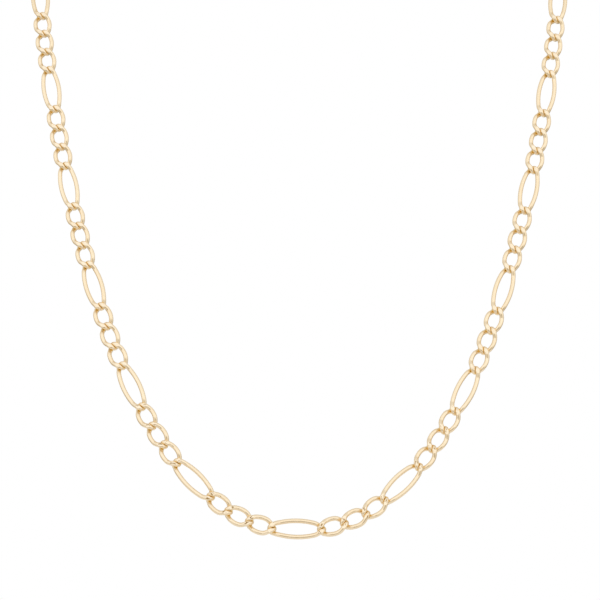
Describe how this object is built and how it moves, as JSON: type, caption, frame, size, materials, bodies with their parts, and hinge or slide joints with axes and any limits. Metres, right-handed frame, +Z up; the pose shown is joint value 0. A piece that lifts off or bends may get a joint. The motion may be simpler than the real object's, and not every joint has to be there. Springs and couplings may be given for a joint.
{
  "type": "figaro chain necklace",
  "caption": "Fastened neck chain of filed curb links, each run of short round links followed by one long oval link, closed at the nape by a lobster clasp.",
  "frame": {"origin": "on the axis of the neck that the chain goes round, level with the chain at the sides of the neck", "axes": "+Z up, -Y towards the viewer of the hanging front, +X to that viewer's right"},
  "size_m": [0.1274, 0.1058, 0.1499],
  "materials": {
    "chain_gold": "bright polished pale yellow gold, with flat filed faces",
    "ring_gold": "bright polished pale yellow gold wire",
    "clasp_gold": "polished cast yellow gold"
  },
  "bodies": {
    "root": {"chain_left": "chain_gold", "chain_right": "chain_gold", "clasp": "clasp_gold", "clasp_ring": "ring_gold", "end_ring": "ring_gold"}
  },
  "joints": []
}
